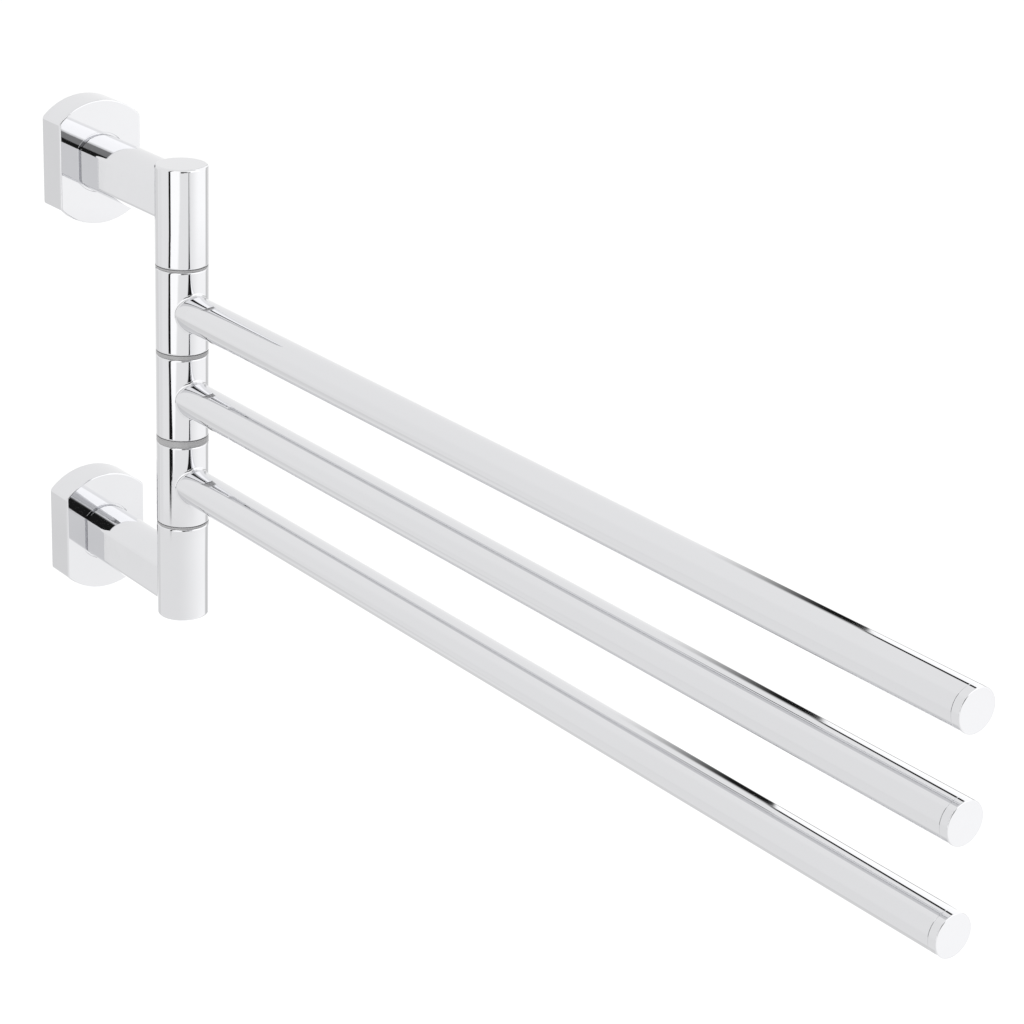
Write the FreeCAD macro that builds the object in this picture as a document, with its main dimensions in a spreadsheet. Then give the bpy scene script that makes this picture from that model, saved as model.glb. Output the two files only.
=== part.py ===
"""Swing arm towel bar: two wall brackets, a post between them and three bars that swing on it.

Millimetres. +Z is up, the wall is the plane Y = 0 and the object stands out of it towards -Y.
The origin lies on the wall, half way between the two wall flanges.
"""
import FreeCAD, Part
import math
import os

import Sketcher

SIZES = {
    # the post: two bracket barrels with three hubs between them
    "post_diameter": 20.0,
    "barrel_height": 38.2,
    "hub_height": 32.6,
    "post_edge": 1.1,  # rounding of the post's top and bottom edges
    "hub_edge": 0.8,  # rounding of the edges on both sides of each joint in the post
    # bracket arms, from the post to the wall flanges
    "wall_distance": 74.0,  # post axis to wall
    "arm_below_end": 13.3,  # arm axis to the post's nearer end
    "arm_diameter": 22.2,  # the arm is a round bar with two upright flats
    "arm_width": 18.2,
    "arm_corner": 1.8,
    # wall flanges
    "flange_diameter": 48.6,
    "flange_width": 34.9,
    "flange_depth": 13.4,
    "flange_corner": 2.0,
    "flange_edge": 0.6,
    "flange_wall": 2.6,
    "flange_face": 3.5,  # thickness of the front wall
    "seat_depth": 1.0,  # how far the arm sits in the flange's face
    "seat_gap": 0.6,
    # wall plates, hidden in the flanges
    "plate_thickness": 6.0,
    "plate_gap": 0.3,
    "plate_opening": 13.0,
    "wall_hole": 5.0,
    "wall_hole_spacing": 29.0,
    # screws that hold the arms to the flanges
    "arm_screw_thread": 6.0,
    "arm_screw_length": 16.0,
    "arm_screw_head": 10.0,
    "arm_screw_head_height": 6.0,
    "arm_screw_key": 5.0,
    "arm_screw_key_depth": 3.0,
    "arm_screw_chamfer": 0.6,
    # grub screws that hold the flanges to the wall plates
    "grub_thread": 4.0,
    "grub_length": 5.0,
    "grub_sink": 0.3,
    "grub_point": 1.0,
    "grub_key": 2.0,
    "grub_key_depth": 2.0,
    # the spindle that the hubs turn on, and what clamps it
    "spindle_diameter": 8.0,
    "spindle_thread": 6.0,
    "spindle_seat": 5.0,  # depth of the full-diameter seat in each barrel
    "spindle_grip": 12.0,  # threaded length in the upper barrel
    "spindle_chamfer": 0.6,
    "recess_diameter": 14.0,
    "recess_depth": 18.0,
    "lock_washer_diameter": 11.0,
    "lock_washer_thickness": 1.6,
    "lock_washer_slit": 1.2,
    "nut_width": 10.0,
    "nut_height": 5.0,
    "nut_chamfer": 0.8,
    "thread_past_nut": 2.0,
    "plug_thickness": 2.5,
    "plug_skirt": 5.0,
    "plug_wall": 1.2,
    # bushes and washer
    "bush_diameter": 12.0,
    "bush_length": 10.0,
    "bush_flange": 0.7,
    "bush_flange_diameter": 19.8,
    "friction_washer": 1.0,
    # bars
    "bar_diameter": 14.0,
    "bar_reach": 416.0,  # post axis to the bar's end face
    "tube_wall": 1.2,
    "neck_reach": 14.0,  # post axis to the end of the hub's neck
    "neck_fillet": 1.2,
    "spigot_seat": 5.0,
    "spigot_grip": 16.0,
    "spigot_chamfer": 0.6,
    "cap_rim": 3.0,
    "cap_plug": 8.0,
    "cap_edge": 0.4,
    "cap_seam": 0.15,
    # clearances, all on the radius
    "run_gap": 0.05,
    "press_gap": 0.02,
    "screw_gap": 0.2,
    "drill_spare": 1.5,  # how much deeper a blind hole is than what it holds
}

BARS = ("top", "middle", "bottom")  # from the upper barrel down
WASHER_ABOVE = "bottom"  # the friction washer lies on this bar's hub

doc = FreeCAD.newDocument("swing_arm_towel_bar")
sizes = doc.addObject("Spreadsheet::Sheet", "sizes")
for row, (alias, size) in enumerate(SIZES.items(), start=1):
    sizes.set("A%d" % row, alias)
    sizes.set("B%d" % row, str(size))
    sizes.setAlias("B%d" % row, alias)
doc.recompute()

# Lengths worked out from the sheet, as expressions
POST_RADIUS = "sizes.post_diameter / 2"
STACK = "(%d * sizes.hub_height + %d * sizes.bush_flange + sizes.friction_washer)" % (len(BARS), 2 * len(BARS))
HALF_STACK = STACK + " / 2"
HALF_POST = "(" + HALF_STACK + " + sizes.barrel_height)"
ARM_HEIGHT = "(" + HALF_POST + " - sizes.arm_below_end)"
POST_AXIS = "-sizes.wall_distance"
ARM_REACH = "(sizes.wall_distance - sizes.flange_depth + sizes.seat_depth)"
FLANGE_RADIUS = "sizes.flange_diameter / 2"
CAVITY_RADIUS = "(sizes.flange_diameter / 2 - sizes.flange_wall)"
CAVITY_HALF_WIDTH = "(sizes.flange_width / 2 - sizes.flange_wall)"
CAVITY_DEPTH = "(sizes.flange_depth - sizes.flange_face)"
PLATE_RADIUS = "(" + CAVITY_RADIUS + " - sizes.plate_gap)"
PLATE_HALF_WIDTH = "(" + CAVITY_HALF_WIDTH + " - sizes.plate_gap)"
GRUB_TIP = "(" + FLANGE_RADIUS + " - sizes.grub_sink - sizes.grub_length)"
WEB_END = "(sizes.barrel_height - sizes.recess_depth)"
BORE_RADIUS = "(sizes.spindle_diameter / 2 + sizes.run_gap)"
TUBE_BORE = "(sizes.bar_diameter / 2 - sizes.tube_wall)"
TUBE_LENGTH = "(sizes.bar_reach - sizes.cap_rim - sizes.neck_reach)"

gauge = doc.addObject("App::FeaturePython", "gauge")
gauge.addProperty("App::PropertyFloat", "Reading")


def number(expression):
    """The present value of an expression on the sheet."""
    gauge.setExpression("Reading", expression)
    gauge.recompute()
    return gauge.Reading


def plane(body, role):
    return next(item for item in body.Origin.OriginFeatures if item.Role == role)


def new_sketch(body, name, role, offset="0"):
    """A sketch on one of the body's own planes, moved off it along the plane's normal."""
    sketch = body.newObject("Sketcher::SketchObject", name)
    sketch.AttachmentSupport = (plane(body, role), [""])
    sketch.MapMode = "FlatFace"
    sketch.setExpression("AttachmentOffset.Base.z", offset)
    return sketch


def pin_point(sketch, geometry, point, x, y):
    """Hold a point at expressions measured from the sketch's origin."""
    for kind, axis, expression in (("DistanceX", -2, x), ("DistanceY", -1, y)):
        if expression == "0":
            sketch.addConstraint(Sketcher.Constraint("PointOnObject", geometry, point, axis))
        else:
            value = number(expression)
            index = sketch.addConstraint(Sketcher.Constraint(kind, -1, 1, geometry, point, value))
            sketch.setExpression("Constraints[%d]" % index, expression)


def hold_radius(sketch, geometry, radius):
    index = sketch.addConstraint(Sketcher.Constraint("Radius", geometry, number(radius)))
    sketch.setExpression("Constraints[%d]" % index, radius)


def polygon(body, name, role, points, offset="0"):
    """A closed outline of straight lines through points given as pairs of expressions."""
    sketch = new_sketch(body, name, role, offset)
    corners = [FreeCAD.Vector(number(x), number(y), 0) for x, y in points]
    for start, end in zip(corners, corners[1:] + corners[:1]):
        sketch.addGeometry(Part.LineSegment(start, end), False)
    for index, (x, y) in enumerate(points):
        following = (index + 1) % len(points)
        sketch.addConstraint(Sketcher.Constraint("Coincident", index, 2, following, 1))
        pin_point(sketch, index, 1, x, y)
    return sketch


def circles(body, name, role, rounds, offset="0"):
    """Circles given as (x, y, radius) expressions."""
    sketch = new_sketch(body, name, role, offset)
    for index, (x, y, radius) in enumerate(rounds):
        centre = FreeCAD.Vector(number(x), number(y), 0)
        sketch.addGeometry(Part.Circle(centre, FreeCAD.Vector(0, 0, 1), number(radius)), False)
        hold_radius(sketch, index, radius)
        pin_point(sketch, index, 3, x, y)
    return sketch


def flatted_round(body, name, role, radius, half_width, offset="0"):
    """A circle about the sketch's origin, cut by two upright flats."""
    sketch = new_sketch(body, name, role, offset)
    r, w = number(radius), number(half_width)
    rise = math.sqrt(r * r - w * w)
    start = math.atan2(rise, w)
    disc = Part.Circle(FreeCAD.Vector(), FreeCAD.Vector(0, 0, 1), r)
    sketch.addGeometry(Part.LineSegment(FreeCAD.Vector(w, -rise, 0), FreeCAD.Vector(w, rise, 0)), False)
    sketch.addGeometry(Part.ArcOfCircle(disc, start, math.pi - start), False)
    sketch.addGeometry(Part.LineSegment(FreeCAD.Vector(-w, rise, 0), FreeCAD.Vector(-w, -rise, 0)), False)
    sketch.addGeometry(Part.ArcOfCircle(disc, math.pi + start, 2 * math.pi - start), False)
    for index in range(4):
        sketch.addConstraint(Sketcher.Constraint("Coincident", index, 2, (index + 1) % 4, 1))
    for flat, sign in ((0, ""), (2, "-")):
        sketch.addConstraint(Sketcher.Constraint("Vertical", flat))
        value = number(sign + half_width)
        index = sketch.addConstraint(Sketcher.Constraint("DistanceX", -1, 1, flat, 1, value))
        sketch.setExpression("Constraints[%d]" % index, sign + half_width)
    for arc in (1, 3):
        sketch.addConstraint(Sketcher.Constraint("Coincident", arc, 3, -1, 1))
    hold_radius(sketch, 1, radius)
    sketch.addConstraint(Sketcher.Constraint("Equal", 1, 3))
    return sketch


def add_feature(body, kind, name, sketch, length=None, reverse=False, axis=None):
    """A pad, pocket, revolution or groove of a sketch, checked to have changed the solid."""
    before = body.Shape.Volume if body.Tip else 0
    feature = body.newObject("PartDesign::" + kind, name)
    feature.Profile = sketch
    if length is None:
        feature.ReferenceAxis = (sketch, [axis])
        feature.Angle = 360
    else:
        feature.setExpression("Length", length)
        feature.Reversed = reverse
    doc.recompute()
    change = body.Shape.Volume - before
    adds = kind in ("Pad", "Revolution")
    if (change if adds else -change) < 0.001:
        raise ValueError(name + " doesn't change its solid")
    return feature


def round_edges(body, name, radius, chosen):
    """Round those edges of the body's last feature that the test picks out."""
    last = body.Tip
    edges = ["Edge%d" % index for index, edge in enumerate(last.Shape.Edges, 1) if chosen(edge)]
    if not edges:
        raise ValueError(name + " finds no edge")
    fillet = body.newObject("PartDesign::Fillet", name)
    fillet.Base = (last, edges)
    fillet.setExpression("Radius", radius)
    doc.recompute()
    return fillet


def straight_along(edge, direction):
    """Whether an edge is a straight line along a direction."""
    return isinstance(edge.Curve, Part.Line) and abs(edge.Curve.Direction.dot(direction)) > 0.999


def ring_at(edge, radius, height):
    """Whether an edge is a circle about Z of this radius at this height."""
    if not isinstance(edge.Curve, Part.Circle) or abs(edge.Curve.Axis.z) < 0.999:
        return False
    return abs(edge.Curve.Radius - radius) < 0.001 and abs(edge.Curve.Center.z - height) < 0.001


def new_body(name):
    body = doc.addObject("PartDesign::Body", name)
    body.Label = name
    return body


def turned(name, profile):
    """A piece turned about Z from its half section, given as (radius, height) expressions."""
    body = new_body(name)
    add_feature(body, "Revolution", name + "_turned",
                polygon(body, name + "_profile", "XZ_Plane", profile), axis="V_Axis")
    return body


def ring_profile(inner, outer, low, high):
    return [(inner, low), (outer, low), (outer, high), (inner, high)]


def key_socket(name, width, depth, top):
    """A six-sided key socket that opens at a height on Z, as a tool to cut with."""
    socket = doc.addObject("Part::Prism", name)
    socket.Polygon = 6
    socket.setExpression("Circumradius", width + " / 2 / cos(30)")
    socket.setExpression("Height", depth)
    socket.setExpression("Placement.Base.z", top + " - " + depth)
    return socket


def cut(name, base, tool):
    result = doc.addObject("Part::Cut", name)
    result.Base = base
    result.Tool = tool
    result.Label = name
    return result


TOWARDS_FRONT = FreeCAD.Rotation(FreeCAD.Vector(1, 0, 0), 90)  # turns Z to -Y and Y to Z
TOWARDS_WALL = FreeCAD.Rotation(FreeCAD.Vector(1, 0, 0), -90)  # turns Z to +Y
UPRIGHT = FreeCAD.Rotation()
UPSIDE_DOWN = FreeCAD.Rotation(FreeCAD.Vector(0, 1, 0), 180)



def place(piece, y, z, rotation=UPRIGHT):
    """Put a finished piece in the object's frame, at expressions for Y and Z."""
    piece.Placement = FreeCAD.Placement(FreeCAD.Vector(), rotation)
    piece.setExpression("Placement.Base.y", y)
    piece.setExpression("Placement.Base.z", z)
    return piece


def group(name, pieces):
    """Identical fasteners, each a solid of its own, as one sub-part."""
    compound = doc.addObject("Part::Compound", name)
    compound.Label = name
    compound.Links = pieces
    return compound


def wall_plate(name):
    """The plate that is screwed to the wall. Local Z points out of the wall."""
    body = new_body(name)
    outline = flatted_round(body, name + "_outline", "XY_Plane", PLATE_RADIUS, PLATE_HALF_WIDTH)
    add_feature(body, "Pad", name + "_pad", outline, "sizes.plate_thickness")
    hole = "sizes.wall_hole / 2"
    rounds = [
        ("0", "0", "sizes.plate_opening / 2"),
        ("0", "sizes.wall_hole_spacing / 2", hole),
        ("0", "-sizes.wall_hole_spacing / 2", hole),
    ]
    add_feature(body, "Pocket", name + "_holes", circles(body, name + "_rounds", "XY_Plane", rounds),
                "sizes.plate_thickness", reverse=True)
    seat = circles(body, name + "_grub_seat_round", "XZ_Plane",
                   [("0", "sizes.plate_thickness / 2", "sizes.grub_thread / 2 + sizes.screw_gap")],
                   offset=GRUB_TIP + " - sizes.screw_gap")
    add_feature(body, "Pocket", name + "_grub_seat", seat, "sizes.grub_length", reverse=True)
    return body


def flange_cover(name):
    """The flange that hides the wall plate. Local Z points out of the wall."""
    body = new_body(name)
    outline = flatted_round(body, name + "_outline", "XY_Plane", FLANGE_RADIUS, "sizes.flange_width / 2")
    add_feature(body, "Pad", name + "_pad", outline, "sizes.flange_depth")
    upright = FreeCAD.Vector(0, 0, 1)
    round_edges(body, name + "_corners", "sizes.flange_corner", lambda edge: straight_along(edge, upright))
    front = number("sizes.flange_depth")
    round_edges(body, name + "_front_edge", "sizes.flange_edge",
                lambda edge: all(abs(point.Z - front) < 0.001 for point in edge.Vertexes))
    cavity = flatted_round(body, name + "_cavity_outline", "XY_Plane", CAVITY_RADIUS, CAVITY_HALF_WIDTH)
    add_feature(body, "Pocket", name + "_cavity", cavity, CAVITY_DEPTH, reverse=True)
    seat = flatted_round(body, name + "_seat_outline", "XY_Plane", "(sizes.arm_diameter / 2 + sizes.seat_gap)",
                         "(sizes.arm_width / 2 + sizes.seat_gap)", offset="sizes.flange_depth")
    add_feature(body, "Pocket", name + "_seat", seat, "sizes.seat_depth")
    lengthwise = FreeCAD.Vector(0, 0, 1)
    inside = number("sizes.flange_width / 2 - sizes.flange_wall") - 0.5
    face_level = number("sizes.flange_depth - sizes.seat_depth / 2")
    round_edges(body, name + "_seat_corners", "sizes.arm_corner + sizes.seat_gap",
                lambda edge: straight_along(edge, lengthwise) and abs(edge.CenterOfMass.x) < inside
                and abs(edge.CenterOfMass.z - face_level) < 0.1)
    screw = circles(body, name + "_screw_round", "XY_Plane",
                    [("0", "0", "sizes.arm_screw_thread / 2 + sizes.screw_gap")])
    add_feature(body, "Pocket", name + "_screw_hole", screw, "sizes.flange_depth", reverse=True)
    grub = circles(body, name + "_grub_round", "XZ_Plane",
                   [("0", "sizes.plate_thickness / 2", "sizes.grub_thread / 2 + sizes.press_gap")],
                   offset=CAVITY_RADIUS + " - sizes.plate_gap")
    add_feature(body, "Pocket", name + "_grub_hole", grub, FLANGE_RADIUS, reverse=True)
    return body


def arm_screw(name):
    """Socket cap screw. Local Z runs from the tip to the head."""
    shank, head = "sizes.arm_screw_thread / 2", "sizes.arm_screw_head / 2"
    low, middle = "sizes.arm_screw_chamfer", "sizes.arm_screw_length"
    high = "(sizes.arm_screw_length + sizes.arm_screw_head_height)"
    body = turned(name + "_blank", [
        ("0", "0"), (shank + " - " + low, "0"), (shank, low), (shank, middle),
        (head, middle), (head, high + " - " + low), (head + " - " + low, high), ("0", high),
    ])
    socket = key_socket(name + "_socket", "sizes.arm_screw_key", "sizes.arm_screw_key_depth", high)
    return cut(name, body, socket)


def grub_screw(name):
    """Grub screw with a pointed tip. Local Z runs from the tip to the socket."""
    radius, point = "sizes.grub_thread / 2", "sizes.grub_point"
    body = turned(name + "_blank", [
        ("0", "0"), (radius + " - " + point, "0"), (radius, point),
        (radius, "sizes.grub_length"), ("0", "sizes.grub_length"),
    ])
    socket = key_socket(name + "_socket", "sizes.grub_key", "sizes.grub_key_depth", "sizes.grub_length")
    return cut(name, body, socket)


def bracket_arm(name, barrel_holes):
    """Casting of a flatted arm and a barrel of the post.

    Local origin where the two axes meet, arm towards +Y, outer end of the barrel at +Z. The holes
    are a half section of (radius, depth) expressions, with depth measured from the inner end.
    """
    body = new_body(name)
    outline = flatted_round(body, name + "_arm_outline", "XZ_Plane", "sizes.arm_diameter / 2",
                            "sizes.arm_width / 2")
    add_feature(body, "Pad", name + "_arm", outline, ARM_REACH, reverse=True)
    lengthwise = FreeCAD.Vector(0, 1, 0)
    round_edges(body, name + "_arm_corners", "sizes.arm_corner", lambda edge: straight_along(edge, lengthwise))
    inner_end = "(sizes.arm_below_end - sizes.barrel_height)"
    barrel = circles(body, name + "_barrel_round", "XY_Plane", [("0", "0", POST_RADIUS)], offset=inner_end)
    add_feature(body, "Pad", name + "_barrel", barrel, "sizes.barrel_height")
    radius = number(POST_RADIUS)
    for end, height, rounding in (("outer", "sizes.arm_below_end", "sizes.post_edge"),
                                  ("inner", inner_end, "sizes.hub_edge")):
        level = number(height)
        round_edges(body, name + "_" + end + "_edge", rounding, lambda edge: ring_at(edge, radius, level))
    holes = polygon(body, name + "_hole_section", "XZ_Plane",
                    [(r, inner_end if depth == "0" else inner_end + " + " + depth) for r, depth in barrel_holes])
    add_feature(body, "Groove", name + "_holes", holes, axis="V_Axis")
    depth = "(sizes.arm_screw_length - sizes.flange_face + sizes.seat_depth + sizes.drill_spare)"
    screw = circles(body, name + "_screw_round", "XZ_Plane",
                    [("0", "0", "sizes.arm_screw_thread / 2 + sizes.press_gap")], offset="-" + ARM_REACH)
    add_feature(body, "Pocket", name + "_screw_hole", screw, depth, reverse=True)
    return body


def spindle():
    """The pin that the hubs turn on, full size between its seats and threaded at both ends."""
    full, thread, bevel = "sizes.spindle_diameter / 2", "sizes.spindle_thread / 2", "sizes.spindle_chamfer"
    shoulder = "(" + HALF_STACK + " + sizes.spindle_seat)"
    top = "(" + shoulder + " + sizes.spindle_grip)"
    bottom = ("(" + HALF_STACK + " + " + WEB_END
              + " + sizes.lock_washer_thickness + sizes.nut_height + sizes.thread_past_nut)")
    return turned("spindle", [
        ("0", "-" + bottom), (thread + " - " + bevel, "-" + bottom), (thread, "-" + bottom + " + " + bevel),
        (thread, "-" + shoulder), (full, "-" + shoulder), (full, shoulder), (thread, shoulder),
        (thread, top + " - " + bevel), (thread + " - " + bevel, top), ("0", top),
    ])


def spindle_nut():
    """Hexagon nut, chamfered at both faces."""
    blank = doc.addObject("Part::Prism", "spindle_nut_hexagon")
    blank.Polygon = 6
    blank.setExpression("Circumradius", "sizes.nut_width / 2 / cos(30)")
    blank.setExpression("Height", "sizes.nut_height")
    outer, bevel = "sizes.nut_width / 2 / cos(30)", "sizes.nut_chamfer"
    chamfers = turned("spindle_nut_chamfers", [
        ("0", "0"), (outer + " - " + bevel, "0"), (outer, bevel + " / 2"),
        (outer, "sizes.nut_height - " + bevel + " / 2"), (outer + " - " + bevel, "sizes.nut_height"),
        ("0", "sizes.nut_height"),
    ])
    body = doc.addObject("Part::Common", "spindle_nut_blank")
    body.Base = blank
    body.Tool = chamfers
    hole = doc.addObject("Part::Cylinder", "spindle_nut_hole")
    hole.setExpression("Radius", "sizes.spindle_thread / 2 + sizes.press_gap")
    hole.setExpression("Height", "sizes.nut_height")
    return cut("spindle_nut", body, hole)


def lock_washer():
    """Spring washer with one slit."""
    ring = turned("spindle_lock_washer_ring", ring_profile(
        "sizes.spindle_thread / 2 + sizes.run_gap", "sizes.lock_washer_diameter / 2",
        "0", "sizes.lock_washer_thickness"))
    slit = doc.addObject("Part::Box", "spindle_lock_washer_slit")
    slit.setExpression("Length", "sizes.lock_washer_diameter")
    slit.setExpression("Width", "sizes.lock_washer_slit")
    slit.setExpression("Height", "sizes.lock_washer_thickness")
    slit.setExpression("Placement.Base.y", "-sizes.lock_washer_slit / 2")
    return cut("spindle_lock_washer", ring, slit)


def end_plug():
    """Plug that closes the recess under the post. Local Z runs up from its outer face."""
    outer = "(sizes.recess_diameter / 2 - sizes.press_gap)"
    inner = "(" + outer + " - sizes.plug_wall)"
    thick, high = "sizes.plug_thickness", "(sizes.plug_thickness + sizes.plug_skirt)"
    return turned("post_end_plug", [
        ("0", "0"), (outer, "0"), (outer, high), (inner, high), (inner, thick), ("0", thick),
    ])


def hub(name):
    """A section of the post with the neck that carries a bar. Local origin at its middle."""
    body = new_body(name)
    half = "sizes.hub_height / 2"
    barrel = circles(body, name + "_round", "XY_Plane", [("0", "0", POST_RADIUS)], offset="-" + half)
    add_feature(body, "Pad", name + "_barrel", barrel, "sizes.hub_height")
    neck = circles(body, name + "_neck_round", "XZ_Plane", [("0", "0", "sizes.bar_diameter / 2")])
    add_feature(body, "Pad", name + "_neck", neck, "sizes.neck_reach")
    round_edges(body, name + "_neck_fillet", "sizes.neck_fillet",
                lambda edge: isinstance(edge.Curve, Part.BSplineCurve))
    radius, level = number(POST_RADIUS), number(half)
    round_edges(body, name + "_end_edges", "sizes.hub_edge",
                lambda edge: ring_at(edge, radius, level) or ring_at(edge, radius, -level))
    bore = circles(body, name + "_bore_round", "XY_Plane", [("0", "0", "sizes.bush_diameter / 2")], offset=half)
    add_feature(body, "Pocket", name + "_bore", bore, "sizes.hub_height")
    socket = circles(body, name + "_spigot_round", "XZ_Plane", [("0", "0", TUBE_BORE)],
                     offset="sizes.neck_reach - sizes.spigot_seat")
    add_feature(body, "Pocket", name + "_spigot_hole", socket, "sizes.spigot_seat", reverse=True)
    return body


def bush(name):
    """Flanged bush. Local Z runs from the flange's face into the hub."""
    sleeve = "sizes.bush_diameter / 2 - sizes.press_gap"
    end = "sizes.bush_flange + sizes.bush_length"
    return turned(name, [
        (BORE_RADIUS, "0"), ("sizes.bush_flange_diameter / 2", "0"),
        ("sizes.bush_flange_diameter / 2", "sizes.bush_flange"), (sleeve, "sizes.bush_flange"),
        (sleeve, end), (BORE_RADIUS, end),
    ])


def spigot(name):
    """Peg that joins a tube to its hub's neck. Local Z runs out along the bar."""
    radius, bevel = "(" + TUBE_BORE + " - sizes.press_gap)", "sizes.spigot_chamfer"
    length = "(sizes.spigot_seat + sizes.spigot_grip)"
    return turned(name, [
        ("0", "0"), (radius + " - " + bevel, "0"), (radius, bevel), (radius, length + " - " + bevel),
        (radius + " - " + bevel, length), ("0", length),
    ])


def end_cap(name):
    """Cap with a plug that presses into the tube. Local Z runs out along the bar."""
    outer, plug = "sizes.bar_diameter / 2", "(" + TUBE_BORE + " - sizes.press_gap)"
    seam, edge, rim = "sizes.cap_seam", "sizes.cap_edge", "sizes.cap_rim"
    return turned(name, [
        ("0", "-sizes.cap_plug"), (plug, "-sizes.cap_plug"), (plug, "0"), (outer + " - " + seam, "0"),
        (outer, seam), (outer, rim + " - " + edge), (outer + " - " + edge, rim), ("0", rim),
    ])


# Wall side: each bracket's plate, flange, screws and arm
THREADED_SEAT = [
    ("0", "0"),
    ("sizes.spindle_diameter / 2 + sizes.press_gap", "0"),
    ("sizes.spindle_diameter / 2 + sizes.press_gap", "sizes.spindle_seat"),
    ("sizes.spindle_thread / 2 + sizes.press_gap", "sizes.spindle_seat"),
    ("sizes.spindle_thread / 2 + sizes.press_gap", "sizes.spindle_seat + sizes.spindle_grip + sizes.drill_spare"),
    ("0", "sizes.spindle_seat + sizes.spindle_grip + sizes.drill_spare"),
]
NUT_SEAT = [
    ("0", "0"),
    ("sizes.spindle_diameter / 2 + sizes.press_gap", "0"),
    ("sizes.spindle_diameter / 2 + sizes.press_gap", "sizes.spindle_seat"),
    ("sizes.spindle_thread / 2 + sizes.screw_gap", "sizes.spindle_seat"),
    ("sizes.spindle_thread / 2 + sizes.screw_gap", WEB_END),
    ("sizes.recess_diameter / 2", WEB_END),
    ("sizes.recess_diameter / 2", "sizes.barrel_height"),
    ("0", "sizes.barrel_height"),
]
sub_parts = []
arm_screws = []
grub_screws = []
for side, sign, rotation, barrel_holes in (("upper", "", UPRIGHT, THREADED_SEAT),
                                           ("lower", "-", UPSIDE_DOWN, NUT_SEAT)):
    height = sign + ARM_HEIGHT
    sub_parts += [
        place(wall_plate(side + "_wall_plate"), "0", height, TOWARDS_FRONT),
        place(flange_cover(side + "_flange_cover"), "0", height, TOWARDS_FRONT),
        place(bracket_arm(side + "_bracket_arm", barrel_holes), POST_AXIS, height, rotation),
    ]
    arm_screws.append(place(arm_screw(side + "_arm_screw"),
                            "-(" + CAVITY_DEPTH + " + sizes.arm_screw_length)", height, TOWARDS_WALL))
    grub_screws.append(place(grub_screw(side + "_grub_screw"),
                             "-sizes.plate_thickness / 2", height + " - " + GRUB_TIP, UPSIDE_DOWN))
sub_parts += [group("arm_screws", arm_screws), group("grub_screws", grub_screws)]

# Post: the spindle and what holds it
WEB_FACE = "-(" + HALF_STACK + " + " + WEB_END + ")"
sub_parts += [
    place(spindle(), POST_AXIS, "0"),
    place(lock_washer(), POST_AXIS, WEB_FACE, UPSIDE_DOWN),
    place(spindle_nut(), POST_AXIS, WEB_FACE + " - sizes.lock_washer_thickness", UPSIDE_DOWN),
    place(end_plug(), POST_AXIS, "-" + HALF_POST),
]

# Bars, from the upper barrel down
top = HALF_STACK
for bar in BARS:
    if bar == WASHER_ABOVE:
        top += " - sizes.friction_washer"
        washer = turned("friction_washer", ring_profile(
            BORE_RADIUS, "sizes.bush_flange_diameter / 2", "0", "sizes.friction_washer"))
        sub_parts.append(place(washer, POST_AXIS, top))
    middle = top + " - sizes.bush_flange - sizes.hub_height / 2"
    bottom = top + " - 2 * sizes.bush_flange - sizes.hub_height"
    tube = turned(bar + "_bar_tube", ring_profile(TUBE_BORE, "sizes.bar_diameter / 2", "0", TUBE_LENGTH))
    sub_parts += [
        place(hub(bar + "_hub"), POST_AXIS, middle),
        place(bush(bar + "_hub_upper_bush"), POST_AXIS, top, UPSIDE_DOWN),
        place(bush(bar + "_hub_lower_bush"), POST_AXIS, bottom),
        place(spigot(bar + "_bar_spigot"), POST_AXIS + " - sizes.neck_reach + sizes.spigot_seat",
              middle, TOWARDS_FRONT),
        place(tube, POST_AXIS + " - sizes.neck_reach", middle, TOWARDS_FRONT),
        place(end_cap(bar + "_bar_end_cap"), POST_AXIS + " - sizes.bar_reach + sizes.cap_rim",
              middle, TOWARDS_FRONT),
    ]
    top = bottom

doc.recompute()
for item in doc.Objects:
    if "Invalid" in item.State or "Error" in item.State:
        raise ValueError(item.Label + " failed to build: " + ", ".join(item.State))
for piece in sub_parts:
    solids = len(piece.Links) if piece.TypeId == "Part::Compound" else 1
    if piece.Shape.isNull() or not piece.Shape.isValid() or len(piece.Shape.Solids) != solids:
        raise ValueError(piece.Label + " isn't valid")

os.makedirs("parts", exist_ok=True)
for piece in sub_parts:
    piece.Shape.exportStep("parts/" + piece.Label + ".step")
    box = piece.Shape.BoundBox
    print("%-26s x %8.2f %8.2f  y %8.2f %8.2f  z %8.2f %8.2f  volume %10.1f" % (
        piece.Label, box.XMin, box.XMax, box.YMin, box.YMax, box.ZMin, box.ZMax, piece.Shape.Volume))
print(len(sub_parts), "sub-parts")
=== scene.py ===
# %% [markdown]
# # A swing arm towel bar in polished chrome
#
# This lesson dresses a finished CAD model. The model is loaded as a fixed frame that says where each
# piece is and which body it rides on. We make smooth visible skins for the plated pieces, give the
# hidden hardware its own finishes, and light everything the way a catalogue studio lights chrome.
#
# All lengths are metres. The wall is the plane Y = 0, the rack stands out of it towards -Y, and Z is up.

# %% Load the frame
import math

import bmesh
import bpy
from mathutils import Matrix, Vector


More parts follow.
